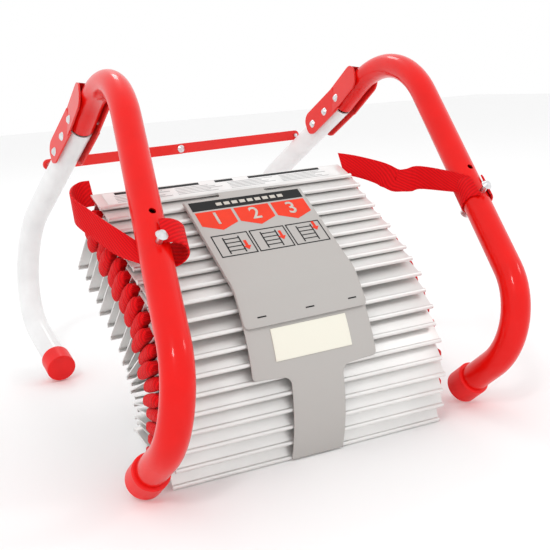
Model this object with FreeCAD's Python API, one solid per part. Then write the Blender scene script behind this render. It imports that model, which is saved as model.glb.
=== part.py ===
import FreeCAD, Part

import math
import os

# Window escape ladder, folded for storage: nineteen metal rungs stacked on red side webbing,
# two bent window hooks with stand-off legs, a folding brace and the straps that hold it together.
# Millimetres. +X runs along the rungs, +Y from the rungs' front edges to the legs, +Z up.

V = FreeCAD.Vector

# ---- whole ladder ----
HOOK_SPACING = 360.0            # between the planes of the two hooks
FLOOR = 11.3                    # floor height in the hooks' working frame
CENTRE = V(63.3, 335.0, FLOOR)  # from the working origin to the part's own origin
CLEAR = 0.3                     # air between pieces that only lie beside each other
HOOK_TURN = 7.0                 # the parallel hook planes stand turned about Z, degrees
HOOK_LEAN = 9.43                # and lean sideways, degrees

# ---- hook tube: (depth, height) corners in the hook's plane, from the bracket to the floor ----
TUBE_RADIUS = 14.25
TUBE_WALL = 1.5
HOOK_END = V(0, 444.1, 317.4)
HOOK_CREST = V(0, 327.9, 397.6)
HOOK_KNEE = V(0, 16.5, 110.5)
HOOK_TIP = V(0, 117.7, 27.25)
CREST_RADIUS = 125.6
KNEE_RADIUS = 65.0
SPARE_HOLE_RADIUS = 3.2
SPARE_HOLE_RISE = 34.0          # spare adjusting hole, above the strap bolt

# ---- stand-off leg ----
LEG_RADIUS = 14.0
LEG_WALL = 1.5
LEG_TOE = {"left": 7.9, "right": 9.0}
LEG_DROP = {"left": 39.2, "right": 35.0}
LEG_GAP = 4.8                   # air between the hook tube's end and the leg tube's end
LEG_RUN = 180.6
LEG_BEND_RADIUS = 86.4
LEG_BEND_TURN = 125.0
LEG_FOOT_RUN = {"left": 87.8, "right": 97.9}

# ---- end caps ----
CAP_WALL = 3.1
CAP_SLEEVE = 22.0
CAP_FLOOR = 3.0
CAP_ROUND = 1.6

# ---- channel bracket between hook and leg ----
BRACKET_INSIDE = 15.0           # half width between the plates
BRACKET_SHEET = 2.0
BRACKET_UP = 62.0               # from the hook tube's end back along the hook
BRACKET_DOWN = 66.0             # and along the leg
BRACKET_BACK = 16.6             # tube axis to the inside of the channel's back
BRACKET_OPEN = 13.0             # tube axis to the plates' free edges
BRACKET_LAP = 10.0
PIVOT_BACK = 9.0                # pivot pin, from the hook tube's end
RIVET_FIRST = 23.0              # first leg rivet, from the hook tube's end
RIVET_STEP = 29.5
PIN_RADIUS = 2.9
PIN_RUNNING = 0.05              # running fit of the pivot pin in the hook tube
HEAD_RADIUS = 5.2
HEAD_HEIGHT = 2.4

# ---- brace between the legs ----
BRACE_ALONG = 80.0              # brace rivet, along the leg from the hook tube's end
BRACE_AIR = 1.0                 # between the legs and the brace bars
BRACE_SHIFT = -4.0              # brace rivets, along X from the legs' axes
BAR_HEIGHT = 13.0
BAR_SHEET = 2.4
KNUCKLE_SHARE = 0.5
BRACE_RIVET_RADIUS = 2.5
BRACE_RIVET_HEAD = 5.0
BRACE_HEAD_HEIGHT = 2.0

# ---- rungs ----
RUNG_COUNT = 19
RUNG_LENGTH = 280.0
RUNG_X = 2.2                    # middle of the rungs, in the working frame
RUNG_SHEET = 1.2
BEAD_RADIUS = 2.2
BEAD_PROUD = 0.6
PLATE_HEIGHT = 24.4
PLATE_LEAN = 20.0
TREAD_RISE = 10.0
WALL_BACK = 50.0
WALL_HEIGHT = 9.2
RUNG_DEPTH = 105.0
REAR_BEAD_RADIUS = 1.8
FIRST_LIP = V(0, 101.0, FLOOR + BEAD_RADIUS + 0.05)
FIRST_PITCH = 5.0
FAN_STEP = 5.0                  # each of the lower rungs tips this much more
FAN_COUNT = 10
LOW_STEP = 16.1
LOW_SHEAR = -3.3
HIGH_STEP = 15.4
HIGH_SHEAR = 2.0
TWIST = 5.0                     # the bottom rungs are turned about Z
TWIST_FLAT = 3
SWAY = 1.2                      # every other rung sits this far to one side

# ---- side webbing, folded between the rungs ----
FOLD_FRONT = 12.0
FOLD_BACK = 46.0
FOLD_OUT = 8.0
FOLD_IN = 70.0

# ---- harness straps and their bolts ----
WEB_WIDTH = 25.0
WEB_THICK = 2.0
BOLT_ALONG = V(0, 136.0, 220.7)
BOLT_RADIUS = 3.0
BOLT_HALF = 23.0
BOLT_HEAD_RADIUS = 5.5
BOLT_HEAD_HEIGHT = 3.5
NUT_RADIUS = 5.5
NUT_HEIGHT = 5.0
HOLE_PLAY = 0.15

# ---- retaining strap, patch and instruction flap on the front ----
BAND_HALF = 64.0
NECK_HALF = 26.5
BAND_SHEET = 1.6
BAND_OFF = 3.4                  # from the line of the lips to the strap's back
PATCH_HALF = 39.5
PATCH_SHEET = 0.8
FLAP_OFF = 6.4
FLAP_SHEET = 1.4
FLAP_HALF = 64.5
FLAP_NECK_HALF = 25.0
LABEL_SHEET = 0.4
LABEL_MARGIN = 4.0
SIDES = {"left": -1, "right": 1}


# ---------------------------------------------------------------- shared geometry

def side_frame(side):
    turn = FreeCAD.Rotation(V(0, 0, 1), -HOOK_TURN)
    lean = FreeCAD.Rotation(V(0, 1, 0), HOOK_LEAN)
    return FreeCAD.Placement(V(SIDES[side] * HOOK_SPACING / 2, 0, 0), turn.multiply(lean))


def frame_at(point, x_axis, y_axis):
    return FreeCAD.Placement(point, FreeCAD.Rotation(x_axis, y_axis, x_axis.cross(y_axis), "XYZ"))


def placed(shape, placement):
    result = shape.copy()
    result.Placement = placement.multiply(shape.Placement)
    return result


def rounded_wire(points, radii):
    edges = []
    start = points[0]
    for before, corner, after, radius in zip(points, points[1:], points[2:], radii):
        back = (before - corner).normalize()
        ahead = (after - corner).normalize()
        half = back.getAngle(ahead) / 2
        run = radius / math.tan(half)
        middle = corner + (back + ahead).normalize() * (radius / math.sin(half) - radius)
        first = corner + back * run
        last = corner + ahead * run
        edges.append(Part.makeLine(start, first))
        edges.append(Part.Arc(first, middle, last).toShape())
        start = last
    edges.append(Part.makeLine(start, points[-1]))
    return Part.Wire(edges)


def pipe(wire, radius):
    first = wire.Edges[0]
    base = first.valueAt(first.FirstParameter)
    circle = Part.Wire([Part.makeCircle(radius, base, first.tangentAt(first.FirstParameter))])
    return wire.makePipeShell([circle], True, False)


def tube(points, radii, outer, wall):
    wire = rounded_wire(points, radii)
    return pipe(wire, outer).cut(pipe(wire, outer - wall))


def rod(start, direction, radius, length):
    return Part.makeCylinder(radius, length, start, direction)


def rivet(middle, axis, half, radius, head_radius, head_height):
    axis = V(axis).normalize()
    shank = rod(middle - axis * half, axis, radius, 2 * half)
    heads = []
    for way in (-1, 1):
        head = Part.makeCone(head_radius, head_radius * 0.55, head_height,
                             middle + axis * (way * half), axis * way)
        heads.append(head)
    return shank.fuse(heads).removeSplitter()


def hook_direction():
    return (HOOK_END - HOOK_CREST).normalize()


def leg_axes(side):
    """Plane of the leg in the hook's frame: forward axis, normal and first heading."""
    toe = math.radians(LEG_TOE[side])
    drop = math.radians(LEG_DROP[side])
    outward = V(-math.sin(toe), math.cos(toe), 0)
    normal = V(math.cos(toe), math.sin(toe), 0)
    heading = outward * math.cos(drop) + V(0, 0, -math.sin(drop))
    return outward, normal, heading


def leg_points(side):
    outward, normal, heading = leg_axes(side)
    drop = math.radians(LEG_DROP[side])
    last = drop + math.radians(LEG_BEND_TURN)
    run = LEG_BEND_RADIUS * math.tan(math.radians(LEG_BEND_TURN / 2))
    corner = HOOK_END + heading * (LEG_RUN + run)
    final = outward * math.cos(last) + V(0, 0, -math.sin(last))
    return [HOOK_END + heading * LEG_GAP, corner, corner + final * (run + LEG_FOOT_RUN[side])]


# ---------------------------------------------------------------- hooks, legs and caps

def pivot_point():
    return HOOK_END - hook_direction() * PIVOT_BACK


def bolt_axis():
    along = (HOOK_CREST - HOOK_KNEE).normalize()
    return V(0, along.z, -along.y), along


def hook_tube(side):
    body = tube([HOOK_END, HOOK_CREST, HOOK_KNEE, HOOK_TIP], [CREST_RADIUS, KNEE_RADIUS],
                TUBE_RADIUS, TUBE_WALL)
    reach = 2 * TUBE_RADIUS + 4
    across, along = bolt_axis()
    spare = BOLT_ALONG + along * SPARE_HOLE_RISE
    cuts = [
        rod(pivot_point() - V(reach, 0, 0), V(1, 0, 0), PIN_RADIUS + PIN_RUNNING, 2 * reach),
        rod(BOLT_ALONG - across * reach, across, BOLT_RADIUS + HOLE_PLAY, 2 * reach),
        rod(spare - across * reach, across, SPARE_HOLE_RADIUS, reach),
    ]
    return placed(body.cut(cuts), side_frame(side))


def cap(end, direction, radius):
    outer = radius + CAP_WALL
    body = rod(end - direction * CAP_SLEEVE, direction, outer, CAP_SLEEVE + CAP_FLOOR)
    rims = [edge for edge in body.Edges if len(edge.Vertexes) == 1]
    body = body.makeFillet(CAP_ROUND, rims)
    return body.cut(rod(end - direction * (CAP_SLEEVE + 1), direction, radius, CAP_SLEEVE + 1))


def hook_cap(side):
    direction = (HOOK_TIP - HOOK_KNEE).normalize()
    return placed(cap(HOOK_TIP, direction, TUBE_RADIUS), side_frame(side))


def leg_tube(side):
    normal = leg_axes(side)[1]
    body = tube(leg_points(side), [LEG_BEND_RADIUS], LEG_RADIUS, LEG_WALL)
    reach = 2 * LEG_RADIUS + 4
    cuts = []
    for centre in rivet_points(side):
        cuts.append(rod(centre - normal * reach, normal, PIN_RADIUS + PIN_RUNNING, 2 * reach))
    return placed(body.cut(cuts), side_frame(side))


def leg_cap(side):
    points = leg_points(side)
    direction = (points[2] - points[1]).normalize()
    return placed(cap(points[2], direction, LEG_RADIUS), side_frame(side))


# ---------------------------------------------------------------- bracket and its rivets

def channel(length_back, length_ahead):
    """U channel along +Y around the tube axis, closed towards +Z."""
    outside = BRACKET_INSIDE + BRACKET_SHEET
    length = length_back + length_ahead
    block = Part.makeBox(2 * outside, length, BRACKET_OPEN + BRACKET_BACK + BRACKET_SHEET,
                         V(-outside, -length_back, -BRACKET_OPEN))
    inner = Part.makeBox(2 * BRACKET_INSIDE, length + 2, BRACKET_OPEN + BRACKET_BACK + 1,
                         V(-BRACKET_INSIDE, -length_back - 1, -BRACKET_OPEN - 1))
    return block, inner


def bracket(side):
    outward, normal, heading = leg_axes(side)
    hook_frame = frame_at(HOOK_END, V(1, 0, 0), hook_direction())
    leg_frame = frame_at(HOOK_END, V(normal), V(heading))
    upper, upper_inner = channel(BRACKET_UP, BRACKET_LAP / 2)
    lower, lower_inner = channel(BRACKET_LAP / 2, BRACKET_DOWN)
    nose = [e for e in lower.Edges if abs(e.Length - 2 * (BRACKET_INSIDE + BRACKET_SHEET)) < 0.01
            and e.CenterOfMass.y > BRACKET_DOWN - 1]
    lower = lower.makeFillet(12.0, nose)
    tail = [e for e in upper.Edges if abs(e.Length - 2 * (BRACKET_INSIDE + BRACKET_SHEET)) < 0.01
            and e.CenterOfMass.y < -BRACKET_UP + 1]
    upper = upper.makeFillet(13.0, tail)
    body = placed(upper, hook_frame).fuse(placed(lower, leg_frame))
    body = body.cut([placed(upper_inner, hook_frame), placed(lower_inner, leg_frame)])
    reach = 2 * BRACKET_INSIDE + 10
    holes = [rod(pivot_point() - V(reach, 0, 0), V(1, 0, 0), PIN_RADIUS, 2 * reach)]
    for centre in rivet_points(side):
        holes.append(rod(centre - normal * reach, normal, PIN_RADIUS, 2 * reach))
    return placed(body.cut(holes), side_frame(side))


def rivet_points(side):
    heading = leg_axes(side)[2]
    return [HOOK_END + heading * (RIVET_FIRST + RIVET_STEP * k) for k in (0, 1)]


def pivot_pin(side):
    half = BRACKET_INSIDE + BRACKET_SHEET
    pin = rivet(pivot_point(), V(1, 0, 0), half, PIN_RADIUS, HEAD_RADIUS, HEAD_HEIGHT)
    return placed(pin, side_frame(side))


def leg_rivets(side):
    half = BRACKET_INSIDE + BRACKET_SHEET
    normal = leg_axes(side)[1]
    pins = [rivet(centre, normal, half, PIN_RADIUS, HEAD_RADIUS, HEAD_HEIGHT)
            for centre in rivet_points(side)]
    return placed(Part.makeCompound(pins), side_frame(side))


# ---------------------------------------------------------------- folding brace

def leg_at_brace(side):
    """Point of the leg's axis at the brace, in the working frame."""
    return side_frame(side).multVec(HOOK_END + leg_axes(side)[2] * BRACE_ALONG)


def brace_line():
    """Left rivet, knuckle and right end of the brace, on the bars' front face behind both legs."""
    points = {side: leg_at_brace(side) for side in SIDES}
    backs = []
    for side in SIDES:
        drop = math.radians(LEG_DROP[side])
        reach = (LEG_RADIUS + BAR_HEIGHT / 2 * math.cos(drop)) / math.sin(drop)
        backs.append(points[side].y + reach)
    y = max(backs) + BRACE_AIR
    left = V(points["left"].x + BRACE_SHIFT, y, points["left"].z)
    right = V(points["right"].x + BRACE_SHIFT, y, points["right"].z)
    return left, left + (right - left) * KNUCKLE_SHARE, right


def bar(start, end, layer):
    """Flat bar with round ends from start to end, on one of two layers behind the legs."""
    length = (end - start).Length
    half = BAR_HEIGHT / 2
    y = layer * (BAR_SHEET + CLEAR)
    body = Part.makeBox(length, BAR_SHEET, BAR_HEIGHT, V(0, y, -half))
    body = body.fuse([rod(V(x, y, 0), V(0, 1, 0), half, BAR_SHEET) for x in (0, length)])
    body = body.cut([rod(V(x, y - 1, 0), V(0, 1, 0), BRACE_RIVET_RADIUS + PIN_RUNNING, BAR_SHEET + 2)
                     for x in (0, length)])
    rise = math.degrees(math.atan2(end.z - start.z, end.x - start.x))
    body.rotate(V(0, 0, 0), V(0, 1, 0), -rise)
    body.translate(start)
    return body


def brace_left_bar():
    left, knuckle, right = brace_line()
    return bar(left, knuckle, 0)


def brace_right_bar():
    left, knuckle, right = brace_line()
    return bar(knuckle, right, 1)


def rivet_head(point, way):
    return Part.makeCone(BRACE_RIVET_HEAD, BRACE_RIVET_HEAD * 0.55, BRACE_HEAD_HEIGHT,
                         point, V(0, way, 0))


def knuckle_rivet():
    """Rivet through both bars, with a head at each end."""
    knuckle = brace_line()[1]
    front = V(0, -CLEAR / 2, 0)
    back = V(0, 2 * BAR_SHEET + 1.5 * CLEAR, 0)
    shank = rod(knuckle + front, V(0, 1, 0), BRACE_RIVET_RADIUS, (back - front).y)
    return shank.fuse([rivet_head(knuckle + front, -1), rivet_head(knuckle + back, 1)])


def brace_stud_left():
    """Stud fixed in the left leg's back wall, which the left bar turns on."""
    left = brace_line()[0]
    inside = V(left.x, leg_at_brace("left").y, left.z)
    back = left + V(0, BAR_SHEET + CLEAR / 2, 0)
    shank = rod(inside, V(0, 1, 0), BRACE_RIVET_RADIUS, (back - inside).y)
    return shank.fuse(rivet_head(back, 1))


def brace_stud_right():
    """Stud in the right bar's end, stopping just short of the right leg."""
    right = brace_line()[2]
    front = right + V(0, CLEAR, 0)
    back = right + V(0, 2 * BAR_SHEET + 1.5 * CLEAR, 0)
    shank = rod(front, V(0, 1, 0), BRACE_RIVET_RADIUS, (back - front).y)
    return shank.fuse(rivet_head(back, 1))


def stud_hole():
    left = brace_line()[0]
    inside = V(left.x, leg_at_brace("left").y, left.z)
    return rod(inside, V(0, 1, 0), BRACE_RIVET_RADIUS, (left - inside).y)


# ---------------------------------------------------------------- rungs

def rung_section():
    """One rung at the origin, lip at Y=0, Z=0, running along X."""
    half = RUNG_LENGTH / 2
    sheet = RUNG_SHEET
    lean = math.radians(PLATE_LEAN)
    plate = Part.makeBox(RUNG_LENGTH, sheet, PLATE_HEIGHT, V(-half, -sheet / 2, 0))
    plate.rotate(V(0, 0, 0), V(1, 0, 0), -PLATE_LEAN)
    front = TREAD_RISE * math.tan(lean)
    tread = Part.makeBox(RUNG_LENGTH, RUNG_DEPTH - front, sheet, V(-half, front, TREAD_RISE - sheet / 2))
    wall = Part.makeBox(RUNG_LENGTH, sheet, WALL_HEIGHT, V(-half, WALL_BACK, TREAD_RISE))
    bead = rod(V(-half, -BEAD_PROUD, 0), V(1, 0, 0), BEAD_RADIUS, RUNG_LENGTH)
    rear = rod(V(-half, RUNG_DEPTH, TREAD_RISE - REAR_BEAD_RADIUS + sheet / 2), V(1, 0, 0),
               REAR_BEAD_RADIUS, RUNG_LENGTH)
    return plate.fuse([tread, wall, bead, rear]).removeSplitter()


def rung_poses():
    """Lip point, pitch and turn of each rung, from the floor upwards."""
    poses = []
    lip = V(FIRST_LIP)
    pitch = FIRST_PITCH
    for index in range(RUNG_COUNT):
        turned = 1.0 if index <= TWIST_FLAT else (FAN_COUNT - index) / (FAN_COUNT - TWIST_FLAT)
        twist = TWIST * max(0.0, turned)
        sway = SWAY if index % 2 else -SWAY
        poses.append((V(RUNG_X + sway, lip.y, lip.z), pitch, twist))
        low = index < FAN_COUNT
        next_pitch = pitch - FAN_STEP if low else pitch
        middle = math.radians((pitch + next_pitch) / 2)
        step = LOW_STEP if low else HIGH_STEP
        shear = LOW_SHEAR if low else HIGH_SHEAR
        lip = lip + V(0, shear * math.cos(middle) - step * math.sin(middle),
                      shear * math.sin(middle) + step * math.cos(middle))
        pitch = next_pitch
    return poses


def rung_frame(pose):
    lip, pitch, twist = pose
    turn = FreeCAD.Rotation(V(0, 0, 1), -twist)
    tip = FreeCAD.Rotation(V(1, 0, 0), pitch)
    return FreeCAD.Placement(lip, turn.multiply(tip))


def rung_label(pose):
    lean = math.radians(PLATE_LEAN)
    height = PLATE_HEIGHT - LABEL_MARGIN - BEAD_RADIUS
    label = Part.makeBox(RUNG_LENGTH - 4 * LABEL_MARGIN, LABEL_SHEET, height,
                         V(-RUNG_LENGTH / 2 + 2 * LABEL_MARGIN, -RUNG_SHEET / 2 - LABEL_SHEET,
                           BEAD_RADIUS + LABEL_MARGIN / 2))
    label.rotate(V(0, 0, 0), V(1, 0, 0), -PLATE_LEAN)
    return placed(label, rung_frame(pose))


# ---------------------------------------------------------------- side webbing

def fold_height(lower, upper):
    """Free height between two rungs' treads over the fold, in the lower rung's frame."""
    inverse = rung_frame(lower).inverse()
    heights = []
    for x in (-RUNG_LENGTH / 2, RUNG_LENGTH / 2):
        for depth in (FOLD_FRONT, FOLD_BACK):
            under = V(x, depth, TREAD_RISE - RUNG_SHEET / 2)
            heights.append(inverse.multVec(rung_frame(upper).multVec(under)).z)
    return min(heights) - TREAD_RISE - RUNG_SHEET / 2 - 2 * CLEAR


def webbing_folds(side):
    """One bundle of folded webbing in each gap between rungs, bulging past the rungs' ends."""
    poses = rung_poses()
    way = SIDES[side]
    folds = []
    for lower, upper in zip(poses, poses[1:]):
        height = fold_height(lower, upper)
        base = TREAD_RISE + RUNG_SHEET / 2 + CLEAR
        outer = RUNG_LENGTH / 2 + FOLD_OUT - height / 2
        inner = RUNG_LENGTH / 2 - FOLD_IN
        block = Part.makeBox(outer - inner, FOLD_BACK - FOLD_FRONT, height,
                             V(inner, FOLD_FRONT, base))
        end = rod(V(outer, FOLD_FRONT, base + height / 2), V(0, 1, 0), height / 2,
                  FOLD_BACK - FOLD_FRONT)
        fold = block.fuse(end).removeSplitter()
        if way < 0:
            fold = fold.mirror(V(0, 0, 0), V(1, 0, 0))
        folds.append(placed(fold, rung_frame(lower)))
    return Part.makeCompound(folds)


# ---------------------------------------------------------------- harness straps

def web_section(centre, width_axis, thick_axis):
    across = V(width_axis).normalize() * (WEB_WIDTH / 2)
    through = V(thick_axis).normalize() * (WEB_THICK / 2)
    return [centre - across - through, centre + across - through,
            centre + across + through, centre - across + through]


def facet(*corners):
    return Part.Face(Part.makePolygon(list(corners) + [corners[0]]))


def web_strap(stations):
    """Flat webbing through stations of (centre, width axis, thickness axis)."""
    rings = [web_section(*station) for station in stations]
    faces = [facet(*rings[0]), facet(*rings[-1])]
    for ring, following in zip(rings, rings[1:]):
        for k in range(4):
            after = (k + 1) % 4
            faces.append(facet(ring[k], ring[after], following[after]))
            faces.append(facet(ring[k], following[after], following[k]))
    solid = Part.makeSolid(Part.makeShell(faces))
    if solid.Volume < 0:
        solid.reverse()
    return solid


def strap_loop(side):
    """Ring of webbing round the hook tube at the strap bolt, on the bolt's holes."""
    across, along = bolt_axis()
    inner = TUBE_RADIUS + CLEAR
    start = BOLT_ALONG - along * (WEB_WIDTH / 2)
    ring = rod(start, along, inner + WEB_THICK, WEB_WIDTH)
    ring = ring.cut(rod(start - along, along, inner, WEB_WIDTH + 2))
    return ring, across, along


def strap(side):
    frame = side_frame(side)
    ring, across, along = strap_loop(side)
    bolt_hole = rod(BOLT_ALONG - across * 40, across, BOLT_RADIUS + HOLE_PLAY, 80)
    ring = placed(ring, frame)
    hole = placed(bolt_hole, frame)
    along = frame.Rotation.multVec(along)
    across = frame.Rotation.multVec(across)
    normal = frame.Rotation.multVec(V(1, 0, 0))
    radial = (across - normal).normalize()
    touch = frame.multVec(BOLT_ALONG) + radial * (TUBE_RADIUS + CLEAR + WEB_THICK / 2)
    if side == "right":
        stations = [
            (V(146.0, 241.0, 257.0), V(0, 0.35, 1.0), V(0.6, 0.8, 0)),
            (V(168.0, 224.0, 249.0), V(0.1, 0.2, 1.0), V(0.6, 0.8, 0)),
            (V(186.0, 206.0, 236.0), V(0.3, 0.1, 1.0), V(0.6, 0.75, 0)),
            (V(203.0, 185.0, 229.0), V(0.1, 0.1, 1.0), V(0.62, 0.78, 0)),
            (touch, along, V(0.8, 0.6, 0)),
        ]
    else:
        stations = [
            (V(-143.0, 236.0, 257.0), V(0, 0.6, 1.0), V(0.2, 1.0, 0)),
            (V(-152.0, 232.0, 252.0), V(0, 0.4, 1.0), V(0.6, 0.8, 0)),
            (V(-158.0, 214.0, 245.0), V(0, 0.2, 1.0), V(1.0, 0.0, 0)),
            (V(-151.0, 188.0, 236.0), V(0, 0.1, 1.0), V(0.95, 0.3, 0)),
            (touch, along, V(0.9, 0.4, 0)),
        ]
    tail = web_strap(stations)
    return tail.fuse(ring).cut(hole).cut(tube_room(side)).removeSplitter()


def tube_room(side):
    """Space that the hook tube takes, with its clearance."""
    along = bolt_axis()[1]
    room = rod(BOLT_ALONG - along * 60, along, TUBE_RADIUS + CLEAR, 120)
    return placed(room, side_frame(side))


def strap_bolt(side):
    across = bolt_axis()[0]
    start = BOLT_ALONG - across * BOLT_HALF
    shank = rod(start, across, BOLT_RADIUS, 2 * BOLT_HALF)
    head = Part.makeCone(BOLT_HEAD_RADIUS, BOLT_HEAD_RADIUS * 0.5, BOLT_HEAD_HEIGHT, start, -across)
    return placed(shank.fuse(head), side_frame(side))


def bolt_nut(side):
    across = bolt_axis()[0]
    seat = BOLT_ALONG + across * (TUBE_RADIUS + 2 * CLEAR + WEB_THICK)
    nut = Part.makeCylinder(NUT_RADIUS, NUT_HEIGHT, seat, across)
    nut = nut.cut(rod(seat - across, across, BOLT_RADIUS, NUT_HEIGHT + 2))
    return placed(nut, side_frame(side))


# ---------------------------------------------------------------- sheets on the stack's front

def lip_curve(x, off, first, last):
    """Points in front of the lips at one x, between two rung numbers counted from the top."""
    poses = rung_poses()[::-1]
    lips = [V(x, p.y - (x - RUNG_X) * math.sin(math.radians(t)), p.z) for p, a, t in poses]
    lips = [V(x, lips[0].y * 2 - lips[1].y, lips[0].z * 2 - lips[1].z)] + lips
    stops = [first] + [n for n in range(1, RUNG_COUNT + 1) if first < n < last] + [last]
    points = []
    for stop in stops:
        low = min(int(math.floor(stop)), RUNG_COUNT - 1)
        share = stop - low
        here = lips[low] + (lips[low + 1] - lips[low]) * share
        before = lips[max(low - 1, 0)]
        after = lips[min(low + 2, RUNG_COUNT)]
        run = (after - before).normalize()
        points.append(here + V(0, run.z, -run.y) * off)
    return points


def front_sheet(left, right, off, sheet, first, last):
    """Sheet over the lips from x=left to x=right, between two rung numbers from the top."""
    wires = []
    for x in (RUNG_X + left, RUNG_X + right):
        inner = lip_curve(x, off, first, last)
        outer = lip_curve(x, off + sheet, first, last)
        outline = inner + outer[::-1]
        wires.append(Part.makePolygon(outline + outline[:1]))
    return Part.makeLoft(wires, True, True)


BAND_TOP = 1.75
BAND_LOW = 14.0
BAND_END = 19.0
FLAP_TOP = 1.85
FLAP_ROOT = 1.45
FLAP_END = 11.15
PATCH_TOP = 11.4
PATCH_LOW = 13.1


def retaining_strap():
    panel = front_sheet(-BAND_HALF, BAND_HALF, BAND_OFF, BAND_SHEET, BAND_TOP, BAND_LOW)
    neck = front_sheet(-NECK_HALF, NECK_HALF, BAND_OFF, BAND_SHEET, BAND_LOW, BAND_END)
    return panel.fuse(neck)


def loop_patch():
    return front_sheet(-PATCH_HALF, PATCH_HALF, BAND_OFF + BAND_SHEET, PATCH_SHEET,
                       PATCH_TOP, PATCH_LOW)


def instruction_flap():
    panel = front_sheet(-FLAP_HALF, FLAP_HALF, FLAP_OFF, FLAP_SHEET, FLAP_TOP, FLAP_END)
    neck = front_sheet(-FLAP_NECK_HALF, FLAP_NECK_HALF, FLAP_OFF, FLAP_SHEET, FLAP_ROOT, FLAP_TOP)
    return panel.fuse(neck)


# ---------------------------------------------------------------- all nodes

def nodes():
    built = {}
    poses = rung_poses()
    section = rung_section()
    for number, pose in enumerate(poses[::-1], start=1):
        built["rung_%02d" % number] = placed(section, rung_frame(pose))
    built["rung_label"] = rung_label(poses[-1])
    for side in SIDES:
        built["webbing_" + side] = webbing_folds(side)
        built["hook_tube_" + side] = hook_tube(side)
        built["hook_cap_" + side] = hook_cap(side)
        built["leg_tube_" + side] = leg_tube(side)
        built["leg_cap_" + side] = leg_cap(side)
        built["bracket_" + side] = bracket(side)
        built["pivot_pin_" + side] = pivot_pin(side)
        built["leg_rivets_" + side] = leg_rivets(side)
        built["harness_strap_" + side] = strap(side)
        built["strap_bolt_" + side] = strap_bolt(side)
        built["bolt_nut_" + side] = bolt_nut(side)
    built["leg_tube_left"] = built["leg_tube_left"].cut(stud_hole())
    built["brace_stud_left"] = brace_stud_left()
    built["brace_stud_right"] = brace_stud_right()
    built["brace_bar_left"] = brace_left_bar()
    built["brace_bar_right"] = brace_right_bar()
    built["brace_knuckle_rivet"] = knuckle_rivet()
    built["retaining_strap"] = retaining_strap()
    built["loop_patch"] = loop_patch()
    built["instruction_flap"] = instruction_flap()
    return built


def main():
    os.makedirs("parts", exist_ok=True)
    box = FreeCAD.BoundBox()
    for name, shape in nodes().items():
        shape.translate(-CENTRE)
        shape.exportStep("parts/%s.step" % name)
        box.add(shape.BoundBox)
    for side in SIDES:
        frame = side_frame(side)
        print(side, "pivot", frame.multVec(pivot_point()) - CENTRE,
              "axis", frame.Rotation.multVec(V(1, 0, 0)))
    left, knuckle, right = brace_line()
    print("brace", left - CENTRE, knuckle - CENTRE, right - CENTRE)
    print("flap hinge", lip_curve(RUNG_X, FLAP_OFF + FLAP_SHEET / 2, FLAP_ROOT, FLAP_TOP)[0] - CENTRE)
    print("box", box)


main()
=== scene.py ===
import bpy
import bmesh
from math import ceil, cos, floor, pi, radians, sin, sqrt
from mathutils import Matrix, Vector


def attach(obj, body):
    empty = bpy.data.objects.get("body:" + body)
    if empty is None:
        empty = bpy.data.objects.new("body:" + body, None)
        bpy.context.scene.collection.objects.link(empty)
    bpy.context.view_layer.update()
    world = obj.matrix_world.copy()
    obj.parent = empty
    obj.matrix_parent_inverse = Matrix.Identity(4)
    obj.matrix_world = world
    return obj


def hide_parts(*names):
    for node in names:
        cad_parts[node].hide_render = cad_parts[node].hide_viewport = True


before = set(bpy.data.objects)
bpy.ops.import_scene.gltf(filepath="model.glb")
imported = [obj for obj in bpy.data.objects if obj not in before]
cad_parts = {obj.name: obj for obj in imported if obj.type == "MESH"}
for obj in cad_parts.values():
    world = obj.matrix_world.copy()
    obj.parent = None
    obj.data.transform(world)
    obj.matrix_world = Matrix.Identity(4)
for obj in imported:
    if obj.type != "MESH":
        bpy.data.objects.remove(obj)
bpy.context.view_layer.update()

bl_info = {
    "name": "Window escape ladder",
    "version": (1, 0, 0),
    "blender": (4, 5, 0),
    "location": "View3D > Sidebar > Ladder",
    "description": "Dresses the folded window escape ladder: finishes, webbing, straps and print",
    "category": "Object",
}

MM = 0.001

# Places below are in the hooks' working frame, in millimetres.
CENTRE = Vector((63.3, 335.0, 11.3))      # working origin to the part's own origin
HOOK_OUT = 180.0                          # each hook's plane from the middle
HOOK_TURN = radians(-7.0)
HOOK_LEAN = radians(9.43)
HOOK_CREST = Vector((0, 327.9, 397.6))
HOOK_KNEE = Vector((0, 16.5, 110.5))
BOLT = Vector((0, 136.0, 220.7))
SIGN = {"left": -1, "right": 1}

RUNG_COUNT = 19
RUNG_X = 2.2                              # middle of the rungs
RUNG_SWAY = 1.2                           # rungs lie a little to the left and right by turns
PLATE_LEAN = radians(20.0)
FIRST_LIP_Y = 101.0
LIP_HEIGHT = 2.25                         # bottom rung's lip above the floor
FIRST_PITCH = 5.0
FAN_STEP = 5.0                            # each lower rung tips this much more than the next
FAN_COUNT = 10
LOW_STEP, LOW_SHEAR = 16.1, -3.3
HIGH_STEP, HIGH_SHEAR = 15.4, 2.0
RUNG_TWIST = 5.0
TWIST_FLAT = 3                            # rungs up to here have the full twist

# Side webbing: one roll in each gap between rungs
ROLL_FRONT = 8.0                          # roll's front end behind the lip
ROLL_DEPTH = 42.0
TREAD_TOP = 10.9                          # tread of the rung below
WALL_FOOT = 9.1                           # underside of the rung above
ROLL_HALF = 0.48                          # half height, as a share of the gap
ROLL_SWELL = 0.26                         # more of it outside the rungs' ends
ROLL_OUT = 9.5                            # how far a roll stands past the rungs
ROLL_TUCK = 52                            # how far it reaches in between the rungs

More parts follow.
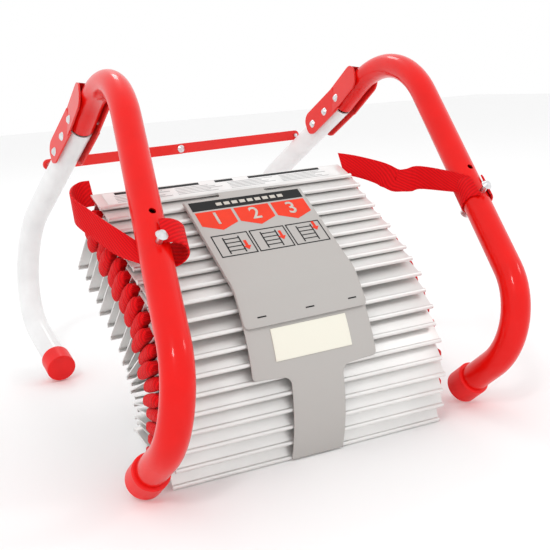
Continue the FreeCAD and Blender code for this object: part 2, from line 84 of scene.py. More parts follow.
# Rung numbers from the top, where the grey sheets begin and end
BAND_TOP, BAND_LOW, BAND_END = 1.75, 14.0, 19.0
FLAP_ROOT, FLAP_TOP, FLAP_END = 1.45, 1.85, 11.15
PATCH_TOP, PATCH_LOW = 11.35, 13.1
BAND_OFF, PATCH_OFF, FLAP_OFF = 4.2, 5.45, 7.1      # middle of each sheet in front of the lips
BAND_SHEET, PATCH_SHEET, FLAP_SHEET = 1.6, 0.8, 1.3
PATCH_HALF = 39.5
MEAN_STEP = 15.85                         # along the lips, from rung to rung
PRINT_FILM = 0.12

# Camera in the working frame
CAMERA_PLACE = Vector((-419.64, -567.49, 360.08))
CAMERA_YAW, CAMERA_PITCH, CAMERA_ROLL = 30.259, 12.636, -3.484
CAMERA_LENS = 59.5


def lengths(name, description, default):
    return bpy.props.FloatProperty(name=name, description=description, default=default,
                                   subtype="DISTANCE", unit="LENGTH")


def colour(name, description, default):
    return bpy.props.FloatVectorProperty(name=name, description=description, default=default,
                                         size=4, subtype="COLOR", min=0, max=1)


class LadderSizes(bpy.types.PropertyGroup):
    web_width: lengths("Webbing width", "Width of the harness webbing", 0.025)
    web_thick: lengths("Webbing thickness", "Thickness of the harness webbing", 0.0017)
    tube_radius: lengths("Hook tube radius", "Outside radius of the hook tubes", 0.01425)
    rung_length: lengths("Rung length", "Length of one rung", 0.280)
    band_half: lengths("Band half width", "Half width of the retaining strap's panel", 0.064)
    neck_half: lengths("Neck half width", "Half width of the retaining strap's neck", 0.0265)
    flap_half: lengths("Flap half width", "Half width of the instruction flap", 0.0645)


class LadderColours(bpy.types.PropertyGroup):
    red_paint: colour("Red paint", "Powder coat of the hooks", (0.80, 0.003, 0.001, 1))
    red_sheet: colour("Red sheet paint", "Powder coat of brackets and brace", (0.80, 0.030, 0.026, 1))
    red_cap: colour("Red caps", "Moulded end caps", (0.86, 0.014, 0.014, 1))
    webbing: colour("Webbing", "Woven side and harness webbing", (0.74, 0.001, 0.004, 1))
    white_paint: colour("White paint", "Powder coat of the legs", (0.86, 0.86, 0.86, 1))
    rung: colour("Rung metal", "Extruded rungs", (0.80, 0.79, 0.775, 1))
    vinyl: colour("Grey vinyl", "Retaining strap and flap", (0.108, 0.102, 0.094, 1))
    print_red: colour("Printed red", "Printed step arrows", (0.84, 0.045, 0.015, 1))
    patch: colour("Loop patch", "Cream pile of the fastener patch", (0.155, 0.148, 0.112, 1))


# ------------------------------------------------------------------ placing

def side_matrix(side):
    return (Matrix.Translation(Vector((SIGN[side] * HOOK_OUT, 0, 0)) - CENTRE)
            @ Matrix.Rotation(HOOK_TURN, 4, "Z") @ Matrix.Rotation(HOOK_LEAN, 4, "Y"))


def rung_poses():
    """Lip point, pitch and turn of each rung from the floor up, in the working frame."""
    poses = []
    y, z, pitch = FIRST_LIP_Y, CENTRE.z + LIP_HEIGHT, FIRST_PITCH
    for index in range(RUNG_COUNT):
        turned = 1.0 if index <= TWIST_FLAT else (FAN_COUNT - index) / (FAN_COUNT - TWIST_FLAT)
        twist = RUNG_TWIST * max(0.0, turned)
        sway = RUNG_SWAY if index % 2 else -RUNG_SWAY
        poses.append((Vector((RUNG_X + sway, y, z)), radians(pitch), radians(twist)))
        low = index < FAN_COUNT
        following = pitch - FAN_STEP if low else pitch
        middle = radians((pitch + following) / 2)
        step, shear = (LOW_STEP, LOW_SHEAR) if low else (HIGH_STEP, HIGH_SHEAR)
        y += shear * cos(middle) - step * sin(middle)
        z += shear * sin(middle) + step * cos(middle)
        pitch = following
    return poses


def rung_matrix(pose):
    lip, pitch, twist = pose
    return (Matrix.Translation(lip - CENTRE) @ Matrix.Rotation(-twist, 4, "Z")
            @ Matrix.Rotation(pitch, 4, "X"))


def front_point(x, stop, off):
    """Point in front of the lips at x from the rungs' middle, at a rung number from the top, mm."""
    poses = rung_poses()[::-1]

    def lip(number):
        number = max(0, min(RUNG_COUNT - 1, number))
        point, pitch, twist = poses[number]
        return Vector((0, point.y - x * sin(twist), point.z))

    def soft(number):
        if number < 0:
            return lip(0) * 2 - lip(1)
        if number > RUNG_COUNT - 1:
            return lip(RUNG_COUNT - 1) * 2 - lip(RUNG_COUNT - 2)
        return lip(number)

    low = int(floor(stop)) - 1
    t = stop - floor(stop)
    a, b, c, d = (soft(low + k) for k in (-1, 0, 1, 2))
    here = 0.5 * ((2 * b) + (c - a) * t + (2 * a - 5 * b + 4 * c - d) * t * t
                  + (3 * b - a - 3 * c + d) * t * t * t)
    run = ((c - b) * 1.0 + (d - a) * 0.5).normalized()
    return Vector((RUNG_X + x, here.y, here.z)) + Vector((0, run.z, -run.y)) * off - CENTRE


# ------------------------------------------------------------------ meshes

def deselect():
    if bpy.context.object and bpy.context.object.mode != "OBJECT":
        bpy.ops.object.mode_set(mode="OBJECT")
    bpy.ops.object.select_all(action="DESELECT")


def activate(piece):
    deselect()
    piece.select_set(True)
    bpy.context.view_layer.objects.active = piece


def add_mesh(name, points, faces, uvs=None):
    """Mesh piece from points in millimetres."""
    mesh = bpy.data.meshes.new(name)
    mesh.from_pydata([Vector(p) * MM for p in points], [], faces)
    if uvs:
        layer = mesh.uv_layers.new(name="UVMap")
        for loop in mesh.loops:
            layer.data[loop.index].uv = uvs[loop.vertex_index]
    piece = bpy.data.objects.new(name, mesh)
    bpy.context.scene.collection.objects.link(piece)
    return piece


def apply_modifier(piece, kind, **settings):
    activate(piece)
    modifier = piece.modifiers.new(kind.title(), kind)
    for key, value in settings.items():
        setattr(modifier, key, value)
    bpy.ops.object.modifier_apply(modifier=modifier.name)


def outward(piece):
    activate(piece)
    bpy.ops.object.mode_set(mode="EDIT")
    bpy.ops.mesh.select_all(action="SELECT")
    bpy.ops.mesh.remove_doubles(threshold=0.00001)
    bpy.ops.mesh.normals_make_consistent(inside=False)
    bpy.ops.object.mode_set(mode="OBJECT")


def smooth(piece, angle=40):
    activate(piece)
    bpy.ops.object.shade_smooth_by_angle(angle=radians(angle))


def dress(piece, material, body, nodes=()):
    piece.data.materials.clear()
    piece.data.materials.append(material)
    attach(piece, body)
    if nodes:
        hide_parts(*nodes)
    return piece


def grid_faces(rows, columns, closed=False):
    faces = []
    wide = columns if closed else columns - 1
    for r in range(rows - 1):
        for c in range(wide):
            d = (c + 1) % columns
            faces.append((r * columns + c, r * columns + d, (r + 1) * columns + d, (r + 1) * columns + c))
    return faces


# ------------------------------------------------------------------ materials

def new_material(name):
    material = bpy.data.materials.get(name)
    if material:
        return material, None, None, None
    material = bpy.data.materials.new(name)
    material.use_nodes = True
    tree = material.node_tree
    shader = tree.nodes["Principled BSDF"]
    return material, tree, shader, tree.links


def node(tree, kind, **inputs):
    made = tree.nodes.new(kind)
    for key, value in inputs.items():
        made.inputs[key.replace("_", " ")].default_value = value
    return made


def speckle(tree, scale, detail=4.0):
    place = tree.nodes.new("ShaderNodeTexCoord")
    noise = node(tree, "ShaderNodeTexNoise", Scale=scale, Detail=detail)
    tree.links.new(place.outputs["Object"], noise.inputs["Vector"])
    return noise


def tinted(tree, factor, first, second):
    ramp = tree.nodes.new("ShaderNodeValToRGB")
    ramp.color_ramp.elements[0].color = first
    ramp.color_ramp.elements[1].color = second
    ramp.color_ramp.elements[0].position = 0.3
    ramp.color_ramp.elements[1].position = 0.7
    tree.links.new(factor, ramp.inputs["Fac"])
    return ramp.outputs["Color"]


def ranged(tree, factor, low, high):
    span = node(tree, "ShaderNodeMapRange")
    span.inputs["To Min"].default_value = low
    span.inputs["To Max"].default_value = high
    tree.links.new(factor, span.inputs["Value"])
    return span.outputs["Result"]


def bumped(tree, factor, strength, distance):
    bump = tree.nodes.new("ShaderNodeBump")
    bump.inputs["Strength"].default_value = strength
    bump.inputs["Distance"].default_value = distance
    tree.links.new(factor, bump.inputs["Height"])
    return bump.outputs["Normal"]


def shaded(value, by):
    return (value[0] * by, value[1] * by, value[2] * by, 1)


def gloss_paint(name, value, rough, coat):
    """Powder coat: faint orange peel under a clear gloss."""
    material, tree, shader, links = new_material(name)
    if not tree:
        return material
    mottle = speckle(tree, 35.0)
    links.new(tinted(tree, mottle.outputs["Fac"], shaded(value, 0.92), shaded(value, 1.0)),
              shader.inputs["Base Color"])
    peel = speckle(tree, 260.0, 2.0)
    links.new(bumped(tree, peel.outputs["Fac"], 0.05, 0.0004), shader.inputs["Normal"])
    links.new(ranged(tree, mottle.outputs["Fac"], rough * 0.8, rough * 1.3), shader.inputs["Roughness"])
    shader.inputs["Specular IOR Level"].default_value = 0.12
    shader.inputs["Coat Weight"].default_value = coat
    shader.inputs["Coat IOR"].default_value = 1.4
    shader.inputs["Coat Roughness"].default_value = 0.04
    return material


def moulded(name, value, rough):
    material, tree, shader, links = new_material(name)
    if not tree:
        return material
    grain = speckle(tree, 700.0)
    mottle = speckle(tree, 60.0)
    links.new(tinted(tree, mottle.outputs["Fac"], shaded(value, 0.9), shaded(value, 1.0)),
              shader.inputs["Base Color"])
    links.new(bumped(tree, grain.outputs["Fac"], 0.12, 0.0003), shader.inputs["Normal"])
    links.new(ranged(tree, mottle.outputs["Fac"], rough * 0.85, rough * 1.15), shader.inputs["Roughness"])
    shader.inputs["Specular IOR Level"].default_value = 0.22
    return material


def rung_metal(value):
    """Extruded metal: long die lines along the rung and a satin sheen."""
    material, tree, shader, links = new_material("rung_extruded_metal")
    if not tree:
        return material
    place = tree.nodes.new("ShaderNodeTexCoord")
    stretch = tree.nodes.new("ShaderNodeMapping")
    stretch.inputs["Scale"].default_value = (3.0, 900.0, 900.0)
    links.new(place.outputs["Object"], stretch.inputs["Vector"])
    lines = node(tree, "ShaderNodeTexNoise", Scale=1.0, Detail=3.0)
    links.new(stretch.outputs["Vector"], lines.inputs["Vector"])
    cloud = speckle(tree, 14.0)
    links.new(tinted(tree, cloud.outputs["Fac"], shaded(value, 0.93), shaded(value, 1.06)),
              shader.inputs["Base Color"])
    links.new(bumped(tree, lines.outputs["Fac"], 0.10, 0.0003), shader.inputs["Normal"])
    links.new(ranged(tree, lines.outputs["Fac"], 0.32, 0.46), shader.inputs["Roughness"])
    shader.inputs["Metallic"].default_value = 0.62
    return material


def steel(name):
    material, tree, shader, links = new_material(name)
    if not tree:
        return material
    cloud = speckle(tree, 300.0)
    links.new(tinted(tree, cloud.outputs["Fac"], (0.62, 0.62, 0.63, 1), (0.82, 0.82, 0.83, 1)),
              shader.inputs["Base Color"])
    links.new(ranged(tree, cloud.outputs["Fac"], 0.22, 0.38), shader.inputs["Roughness"])
    shader.inputs["Metallic"].default_value = 1.0
    return material


def woven(name, value, across, along):
    """Webbing: diagonal rows of weave that follow the piece's own UV, across and along in rows."""
    material, tree, shader, links = new_material(name)
    if not tree:
        return material
    place = tree.nodes.new("ShaderNodeUVMap")
    place.uv_map = "UVMap"
    rows = tree.nodes.new("ShaderNodeMapping")
    rows.inputs["Scale"].default_value = (across, along, 1)
    links.new(place.outputs["UV"], rows.inputs["Vector"])
    wave = node(tree, "ShaderNodeTexWave", Scale=1.0, Distortion=0.6, Detail=1.0)
    wave.wave_type = "BANDS"
    wave.bands_direction = "DIAGONAL"
    links.new(rows.outputs["Vector"], wave.inputs["Vector"])
    cross = node(tree, "ShaderNodeTexWave", Scale=2.0, Distortion=0.3, Detail=0.0)
    cross.wave_type = "BANDS"
    cross.bands_direction = "X"
    links.new(rows.outputs["Vector"], cross.inputs["Vector"])
    both = tree.nodes.new("ShaderNodeMath")
    both.operation = "ADD"
    links.new(wave.outputs["Fac"], both.inputs[0])
    links.new(cross.outputs["Fac"], both.inputs[1])
    half = tree.nodes.new("ShaderNodeMath")
    half.operation = "MULTIPLY"
    half.inputs[1].default_value = 0.5
    links.new(both.outputs[0], half.inputs[0])
    links.new(tinted(tree, half.outputs[0], shaded(value, 0.72), shaded(value, 1.1)),
              shader.inputs["Base Color"])
    links.new(bumped(tree, half.outputs[0], 0.55, 0.0006), shader.inputs["Normal"])
    shader.inputs["Roughness"].default_value = 0.62
    shader.inputs["Specular IOR Level"].default_value = 0.12
    shader.inputs["Sheen Weight"].default_value = 0.05
    shader.inputs["Sheen Roughness"].default_value = 0.4
    return material


def pile(value):
    material, tree, shader, links = new_material("loop_pile")
    if not tree:
        return material
    place = tree.nodes.new("ShaderNodeTexCoord")
    cells = node(tree, "ShaderNodeTexVoronoi", Scale=750.0)
    links.new(place.outputs["Object"], cells.inputs["Vector"])
    links.new(tinted(tree, cells.outputs["Distance"], shaded(value, 0.72), shaded(value, 1.08)),
              shader.inputs["Base Color"])
    links.new(bumped(tree, cells.outputs["Distance"], 0.6, 0.0008), shader.inputs["Normal"])
    shader.inputs["Roughness"].default_value = 0.85
    return material


# ------------------------------------------------------------------ ribbons and sheets

def curve_through(points, count):
    """Smooth run of count points through a few vectors."""
    run = []
    last = len(points) - 1
    for k in range(count):
        at = k / (count - 1) * last
        i = min(int(at), last - 1)
        t = at - i
        a = points[max(i - 1, 0)]
        b, c = points[i], points[i + 1]
        d = points[min(i + 2, last)]
        run.append(0.5 * ((2 * b) + (c - a) * t + (2 * a - 5 * b + 4 * c - d) * t * t
                          + (3 * b - a - 3 * c + d) * t * t * t))
    return run


def ribbon(name, centres, acrosses, width, thick):
    """Woven ribbon along centres, its width along acrosses, with selvedges; all in mm."""
    columns = 7
    points, uvs = [], []
    travelled = 0.0
    for k, centre in enumerate(centres):
        if k:
            travelled += (centre - centres[k - 1]).length
        across = acrosses[k].normalized()
        for c in range(columns):
            share = c / (columns - 1) - 0.5
            points.append(centre + across * (share * width))
            uvs.append((share * width, travelled))
    piece = add_mesh(name, points, grid_faces(len(centres), columns), uvs)
    apply_modifier(piece, "SOLIDIFY", thickness=thick * MM, offset=0.0)
    apply_modifier(piece, "BEVEL", width=0.3 * thick * MM, segments=2, limit_method="ANGLE")
    smooth(piece, 60)
    return piece


def sheet_piece(name, width_at, first, last, off, thick, rows=70, columns=17):
    """Vinyl sheet over the lips; width_at gives the half width at each rung stop."""
    points, uvs = [], []
    for r in range(rows):
        stop = first + (last - first) * r / (rows - 1)
        half = width_at(stop)
        for c in range(columns):
            x = half * (2 * c / (columns - 1) - 1)
            points.append(front_point(x, stop, off))
            uvs.append((x, stop * 16.0))
    piece = add_mesh(name, points, grid_faces(rows, columns), uvs)
    apply_modifier(piece, "SOLIDIFY", thickness=thick * MM, offset=0.0)
    apply_modifier(piece, "BEVEL", width=0.25 * thick * MM, segments=2, limit_method="ANGLE")
    smooth(piece, 50)
    return piece


def flat_print(name, outline, place, material, body, step=4.0):
    """Thin printed shape: a flat outline in mm, sliced finely and laid on a surface by place(x, a)."""
    mesh = bmesh.new()
    corners = [mesh.verts.new((x, a, 0)) for x, a in outline]
    mesh.faces.new(corners)
    low = min(a for x, a in outline)
    high = max(a for x, a in outline)
    for k in range(1, int(ceil((high - low) / step))):
        everything = mesh.verts[:] + mesh.edges[:] + mesh.faces[:]
        bmesh.ops.bisect_plane(mesh, geom=everything, plane_co=(0, low + k * step, 0),
                               plane_no=(0, 1, 0))
    bmesh.ops.triangulate(mesh, faces=mesh.faces[:])
    for vertex in mesh.verts:
        vertex.co = place(vertex.co.x, vertex.co.y) * MM
    data = bpy.data.meshes.new(name)
    mesh.to_mesh(data)
    mesh.free()
    piece = bpy.data.objects.new(name, data)
    bpy.context.scene.collection.objects.link(piece)
    apply_modifier(piece, "SOLIDIFY", thickness=PRINT_FILM * MM, offset=0.0)
    return dress(piece, material, body)


def numeral(name, digit, x, a, size, place, material, body):
    deselect()
    bpy.ops.object.text_add(location=(0, 0, 0))
    text = bpy.context.object
    text.name = name
    text.data.body = digit
    text.data.size = size
    text.data.align_x = "CENTER"
    text.data.align_y = "CENTER"
    text.data.offset = 0.35
    bpy.ops.object.convert(target="MESH")
    for vertex in text.data.vertices:
        vertex.co = place(x + vertex.co.x, a - vertex.co.y) * MM
    apply_modifier(text, "SOLIDIFY", thickness=PRINT_FILM * MM, offset=0.0)
    return dress(text, material, body)


def frame_print(name, x0, a0, x1, a1, line, place, material, body):
    """Four thin bars round a box."""
    bars = [((x0, a0), (x1, a0 + line)), ((x0, a1 - line), (x1, a1)),
            ((x0, a0), (x0 + line, a1)), ((x1 - line, a0), (x1, a1))]
    for k, ((xa, aa), (xb, ab)) in enumerate(bars):
        flat_print("%s_%d" % (name, k), [(xa, aa), (xb, aa), (xb, ab), (xa, ab)], place, material, body)


# ------------------------------------------------------------------ operators

def sizes():
    return bpy.context.scene.ladder_sizes


def colours():
    return bpy.context.scene.ladder_colours


def web_material():
    return woven("webbing_weave", tuple(colours().webbing), 0.16, 0.10)


class LADDER_OT_metalwork(bpy.types.Operator):
    """Finish the tubes, brackets, brace, caps, fasteners and rungs"""
    bl_idname = "ladder.metalwork"
    bl_label = "Metalwork"

    def execute(self, context):
        paint = colours()
        finishes = [
            ("hook_tube", gloss_paint("red_powder_coat", tuple(paint.red_paint), 0.30, 0.45)),
            ("bracket", gloss_paint("red_sheet_coat", tuple(paint.red_sheet), 0.34, 0.35)),
            ("brace_bar", gloss_paint("red_sheet_coat", tuple(paint.red_sheet), 0.34, 0.35)),
            ("hook_cap", moulded("red_cap_moulding", tuple(paint.red_cap), 0.38)),
            ("leg_cap", moulded("red_cap_moulding", tuple(paint.red_cap), 0.38)),
            ("leg_tube", gloss_paint("white_powder_coat", tuple(paint.white_paint), 0.30, 0.4)),
            ("rung_", rung_metal(tuple(paint.rung))),
            ("", steel("plated_steel")),
        ]
        for name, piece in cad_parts.items():
            material = next(m for start, m in finishes if name.startswith(start))
            piece.data.materials.clear()
            piece.data.materials.append(material)
        return {"FINISHED"}


class LADDER_OT_side_webbing(bpy.types.Operator):
    """Side webbing, folded once in each gap between rungs and bulging past their ends"""
    bl_idname = "ladder.side_webbing"
    bl_label = "Side webbing"

    def execute(self, context):
        for side in SIGN:
            self.fold_side(side)
        return {"FINISHED"}

    def fold_side(self, side):
        poses = rung_poses()
        half = sizes().rung_length / MM / 2
        pieces = []
        for index in range(RUNG_COUNT - 1):
            lower = rung_matrix(poses[index])
            upper = rung_matrix(poses[index + 1])
            wobble = sin(index * 2.4) * 0.8
            piece = self.fold("fold_%s_%02d" % (side, index), lower, upper, half, wobble, side)
            pieces.append(piece)
        activate(pieces[0])
        for piece in pieces:
            piece.select_set(True)
        bpy.ops.object.join()
        whole = bpy.context.object
        whole.name = "side_webbing_" + side
        outward(whole)
        smooth(whole, 70)
        dress(whole, web_material(), "ladder", ["webbing_" + side])

    def fold(self, name, lower, upper, half, wobble, side):
        """One fat fold: a rounded roll whose outer end swells to meet its neighbours."""
        rows, columns = 13, 20
        points, uvs = [], []
        for r in range(rows):
            share = r / (rows - 1)
            depth = ROLL_FRONT + ROLL_DEPTH * share
            swell = max(0.0, 1 - abs(2 * share - 1) ** 3.0) ** 0.5
            floor_point = Vector((0, depth, TREAD_TOP))
            roof_point = lower.inverted() @ (upper @ Vector((0, depth, WALL_FOOT)))
            gap = roof_point.z - floor_point.z
            for c in range(columns):
                angle = -pi + 2 * pi * c / columns
                out = max(cos(angle), 0.0)
                height = gap * (ROLL_HALF + ROLL_SWELL * out) * swell
                reach = half + (ROLL_OUT + wobble) * (0.35 + 0.65 * swell) - height
                x = reach + height * cos(angle) if cos(angle) > 0 else reach + ROLL_TUCK * cos(angle)
                z = floor_point.z + gap / 2 + height * sin(angle)
                pleat = 0.35 * sin(share * pi * 7 + c)
                point = Vector((SIGN[side] * (x + pleat), depth, z))
                points.append(lower @ point)
                uvs.append((depth, height * angle * 1.2))
        faces = grid_faces(rows, columns, closed=True)
        faces.append(tuple(range(columns)))
        faces.append(tuple(reversed(range((rows - 1) * columns, rows * columns))))
        return add_mesh(name, points, faces, uvs)


class LADDER_OT_harness(bpy.types.Operator):
    """Harness straps from the top of the stack round each hook tube, next to its bolt"""
    bl_idname = "ladder.harness"
    bl_label = "Harness straps"

    def execute(self, context):
        for side in SIGN:
            centres, acrosses = self.route(side)
            strap = ribbon("harness_webbing_" + side, centres, acrosses,
                           sizes().web_width / MM, sizes().web_thick / MM)
            dress(strap, web_material(), "ladder", ["harness_strap_" + side])
        return {"FINISHED"}

    def route(self, side):
        place = side_matrix(side)
        turn = place.to_3x3()
        along = (HOOK_CREST - HOOK_KNEE).normalized()
        back = turn @ Vector((0, along.z, -along.y))
        along = turn @ along
        normal = turn @ Vector((1, 0, 0))
        middle = place @ BOLT + along * 8.0
        radius = sizes().tube_radius / MM + 1.3
        if side == "right":
            path = [(144, 243, 258), (158, 232, 254), (173, 216, 247), (183, 205, 240),
                    (187, 200, 238), (196, 193, 238), (208, 184, 240)]
            widths = [(0, 0.45, 1), (0, 0.3, 1), (0.2, 0.1, 1), (0.75, -0.3, 0.8), (0.1, 0.5, 1),
                      (0.0, 0.4, 1), (0.1, 0.3, 1)]
            start, sweep, bulge = -150, 300, 1.5
        else:
            path = [(-136, 247, 259), (-146, 249, 258), (-157, 240, 254), (-163, 222, 248),
                    (-157, 198, 238), (-148, 168, 226)]
            widths = [(0, 0.5, 1), (0, 0.4, 1), (0, 0.3, 1), (0, 0.2, 1), (0.05, 0.2, 1), (0.1, 0.3, 1)]
            start, sweep, bulge = -50, 222, 13.0
        centres = [Vector(p) - CENTRE for p in path]
        acrosses = [Vector(w) for w in widths]
        for k in range(15):
            angle = radians(start + sweep * k / 14)
            direction = back * cos(angle) + normal * sin(angle)
            flare = bulge * max(0.0, sin(angle)) ** 1.5
            centres.append(middle + direction * (radius + flare + 0.05 * k) + along * 0.15 * k)
            acrosses.append(along.copy())
        return curve_through(centres, 110), curve_through(acrosses, 110)


class LADDER_OT_retaining_strap(bpy.types.Operator):
    """Grey retaining strap over the stack's front, with its loop patch"""
    bl_idname = "ladder.retaining_strap"
    bl_label = "Retaining strap"

    def execute(self, context):
        wide, narrow = sizes().band_half / MM, sizes().neck_half / MM
        vinyl = moulded("grey_vinyl", tuple(colours().vinyl), 0.5)

        def half_width(stop):
            fall = BAND_LOW - stop
            if fall > 0:
                corner = max(0.0, 0.35 - fall) / 0.35
                return wide - 5.0 * (1 - sqrt(max(0.0, 1 - corner * corner)))
            flare = min(1.0, -fall / 0.55)
            return narrow + 9.0 * (1 - sqrt(max(0.0, 1 - (1 - flare) ** 2)))

        band = sheet_piece("retaining_band", half_width, BAND_TOP, BAND_END, BAND_OFF, BAND_SHEET, rows=150)
        dress(band, vinyl, "ladder", ["retaining_strap"])
        cream = pile(tuple(colours().patch))
        patch = sheet_piece("fastener_patch", lambda stop: PATCH_HALF, PATCH_TOP, PATCH_LOW, PATCH_OFF,
                            PATCH_SHEET, rows=16)
        dress(patch, cream, "ladder", ["loop_patch"])
        return {"FINISHED"}


class LADDER_OT_instruction_flap(bpy.types.Operator):
    """Lifting instruction flap with three numbered steps and plain pictograms"""
    bl_idname = "ladder.instruction_flap"
    bl_label = "Instruction flap"

    def execute(self, context):
        wide = sizes().flap_half / MM
        vinyl = moulded("grey_vinyl", tuple(colours().vinyl), 0.5)

        def half_width(stop):
            if stop < FLAP_TOP:
                return 25.0 + 3.0 * max(0.0, (stop - 1.7) / 0.15) ** 2
            low = max(0.0, stop - (FLAP_END - 0.3)) / 0.3
            top = max(0.0, 1.95 - stop) / 0.1
            return wide - 4.0 * (1 - sqrt(max(0.0, 1 - low * low))) - 2.0 * top ** 2

        panel = sheet_piece("instruction_flap_panel", half_width, FLAP_ROOT, FLAP_END, FLAP_OFF, FLAP_SHEET,
                            rows=110)
        dress(panel, vinyl, "flap", ["instruction_flap"])

        def place(x, a):
            return front_point(x, FLAP_TOP + a / MEAN_STEP, FLAP_OFF + FLAP_SHEET / 2 + 0.10)

        def over(x, a):
            return front_point(x, FLAP_TOP + a / MEAN_STEP, FLAP_OFF + FLAP_SHEET / 2 + 0.22)

        black = moulded("print_black", (0.012, 0.012, 0.013, 1), 0.4)
        red = moulded("print_red", tuple(colours().print_red), 0.42)
        pale = moulded("print_pale", (0.62, 0.58, 0.52, 1), 0.45)
        flat_print("flap_header", [(-61, 3), (61, 3), (61, 15), (-61, 15)], place, black, "flap")
        for k in range(9):
            x = -34 + 8.5 * k
            flat_print("flap_header_bar_%d" % k, [(x, 7), (x + 6, 7), (x + 6, 11), (x, 11)], over, pale,
                       "flap")
        for k in range(3):
            x = -60 + 41 * k
            outline = [(x, 17), (x + 38, 17), (x + 38, 35), (x + 19, 43), (x, 35)]
            flat_print("step_arrow_%d" % k, outline, place, red, "flap")
            numeral("step_number_%d" % k, str(k + 1), x + 19, 28, 22, over, pale, "flap")
            left = -58 + 40 * k
            frame_print("step_box_%d" % k, left, 49, left + 38, 77, 1.2, place, black, "flap")
            self.pictogram(k, left + 19, 63, place, over, black, red, pale)
        for k, x in enumerate((-50, 0, 46)):
            flat_print("foot_bar_%d" % k, [(x, 139), (x + 9, 139), (x + 9, 140.2), (x, 140.2)], place, black,
                       "flap")
        return {"FINISHED"}

    def pictogram(self, k, x, a, place, over, black, red, pale):
        """A ladder sketch with one red arrow."""
        for rail in (-9, 7):
            flat_print("sketch_rail_%d_%d" % (k, rail), [(x + rail, a - 10), (x + rail + 1.4, a - 10),
                       (x + rail + 1.4, a + 11), (x + rail, a + 11)], place, black, "flap")
        for step in range(4):
            y = a - 8 + 5 * step
            outline = [(x - 9, y), (x + 8, y), (x + 8, y + 1), (x - 9, y + 1)]
            flat_print("sketch_rung_%d_%d" % (k, step), outline, over, black, "flap")
        tip = a + 6 - 5 * k
        flat_print("sketch_arrow_%d" % k, [(x + 10, tip - 9), (x + 13, tip - 9), (x + 13, tip - 2),
                   (x + 15.5, tip - 2), (x + 11.5, tip + 3), (x + 7.5, tip - 2), (x + 10, tip - 2)],
                   over, red, "flap")


class LADDER_OT_rung_label(bpy.types.Operator):
    """Plain printed label on the top rung's front plate"""
    bl_idname = "ladder.rung_label"
    bl_label = "Rung label"

    def execute(self, context):
        pose = rung_matrix(rung_poses()[-1])
        lean = Matrix.Rotation(-PLATE_LEAN, 4, "X")

        def place(lift):
            return lambda x, a: pose @ (lean @ Vector((x, -0.6 - lift, a)))

        white = moulded("label_film", (0.86, 0.86, 0.85, 1), 0.35)
        black = moulded("print_black", (0.012, 0.012, 0.013, 1), 0.4)
        grey = moulded("print_grey", (0.42, 0.42, 0.42, 1), 0.4)
        label = flat_print("label_film", [(-130, 3.4), (130, 3.4), (130, 23.0), (-130, 23.0)], place(0.25),
                           white, "ladder")
        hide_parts("rung_label")
        for k, (x0, x1) in enumerate(((-118, -30), (-12, 8), (26, 112))):
            flat_print("label_header_%d" % k, [(x0, 18.5), (x1, 18.5), (x1, 22.3), (x0, 22.3)], place(0.4),
                       black, "ladder")
        for row in range(5):
            for k, (x0, x1) in enumerate(((-120, -64), (-58, -8), (0, 52), (60, 116))):
                y = 5.2 + 2.6 * row
                end = x1 - (7 * ((row + k) % 3))
                flat_print("label_line_%d_%d" % (row, k), [(x0, y), (end, y), (end, y + 0.7), (x0, y + 0.7)],
                           place(0.4), grey, "ladder")
        return {"FINISHED"}


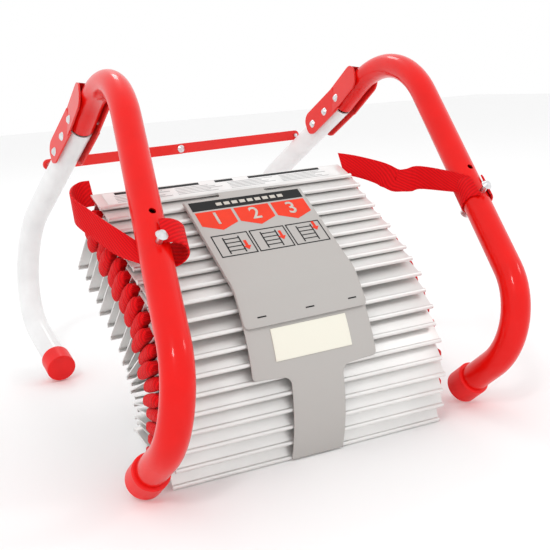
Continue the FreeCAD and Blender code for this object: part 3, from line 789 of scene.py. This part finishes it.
class LADDER_OT_stage(bpy.types.Operator):
    """Pale floor, soft studio lights and the camera"""
    bl_idname = "ladder.stage"
    bl_label = "Stage"

    def execute(self, context):
        deselect()
        bpy.ops.mesh.primitive_plane_add(size=12, location=(0, 0, -0.0005))
        floor_plane = bpy.context.object
        floor_plane.name = "studio_floor"
        material, tree, shader, links = new_material("studio_floor")
        shader.inputs["Base Color"].default_value = (0.93, 0.93, 0.93, 1)
        shader.inputs["Roughness"].default_value = 0.9
        floor_plane.data.materials.append(material)
        world = bpy.data.worlds.new("studio")
        context.scene.world = world
        world.use_nodes = True
        world.node_tree.nodes["Background"].inputs["Color"].default_value = (1, 1, 1, 1)
        world.node_tree.nodes["Background"].inputs["Strength"].default_value = 1.0
        self.light("key", (-1.3, -1.3, 1.9), 0.35, 9, context)
        self.light("fill", (1.7, -1.2, 1.6), 0.4, 5, context)
        self.light("rim", (0.5, 1.9, 2.1), 0.5, 5, context)
        self.camera(context)
        context.scene.view_settings.view_transform = "Standard"
        return {"FINISHED"}

    def light(self, name, place, size, power, context):
        deselect()
        bpy.ops.object.light_add(type="AREA", location=place)
        lamp = context.object
        lamp.name = name
        lamp.data.size = size
        lamp.data.energy = power
        aim = Vector((0, 0, 0.15)) - Vector(place)
        lamp.rotation_euler = aim.to_track_quat("-Z", "Y").to_euler()

    def camera(self, context):
        yaw, pitch, roll = radians(CAMERA_YAW), radians(CAMERA_PITCH), radians(CAMERA_ROLL)
        ahead = Vector((sin(yaw) * cos(pitch), cos(yaw) * cos(pitch), -sin(pitch)))
        right = Vector((cos(yaw), -sin(yaw), 0))
        up = right.cross(ahead)
        right, up = cos(roll) * right + sin(roll) * up, cos(roll) * up - sin(roll) * right
        data = bpy.data.cameras.new("camera")
        data.lens = CAMERA_LENS
        camera = bpy.data.objects.new("camera", data)
        context.scene.collection.objects.link(camera)
        turn = Matrix((right, up, -ahead)).transposed().to_4x4()
        camera.matrix_world = Matrix.Translation((CAMERA_PLACE - CENTRE) * MM) @ turn
        context.scene.camera = camera


OPERATORS = [LADDER_OT_metalwork, LADDER_OT_side_webbing, LADDER_OT_harness, LADDER_OT_retaining_strap,
             LADDER_OT_instruction_flap, LADDER_OT_rung_label, LADDER_OT_stage]


class LADDER_PT_panel(bpy.types.Panel):
    """Sizes, colours and pieces of the ladder"""
    bl_idname = "LADDER_PT_panel"
    bl_label = "Escape ladder"
    bl_space_type = "VIEW_3D"
    bl_region_type = "UI"
    bl_category = "Ladder"

    def draw(self, context):
        for group in (context.scene.ladder_sizes, context.scene.ladder_colours):
            for name in group.bl_rna.properties.keys():
                if name not in ("rna_type", "name"):
                    self.layout.prop(group, name)
        for operator in OPERATORS:
            self.layout.operator(operator.bl_idname)


CLASSES = [LadderSizes, LadderColours] + OPERATORS + [LADDER_PT_panel]


def register():
    for item in CLASSES:
        bpy.utils.register_class(item)
    bpy.types.Scene.ladder_sizes = bpy.props.PointerProperty(type=LadderSizes)
    bpy.types.Scene.ladder_colours = bpy.props.PointerProperty(type=LadderColours)


def unregister():
    del bpy.types.Scene.ladder_colours
    del bpy.types.Scene.ladder_sizes
    for item in reversed(CLASSES):
        bpy.utils.unregister_class(item)


def main():
    register()
    bpy.ops.ladder.metalwork()
    bpy.ops.ladder.side_webbing()
    bpy.ops.ladder.harness()
    bpy.ops.ladder.retaining_strap()
    bpy.ops.ladder.instruction_flap()
    bpy.ops.ladder.rung_label()
    bpy.ops.ladder.stage()


if __name__ == "__main__":
    main()
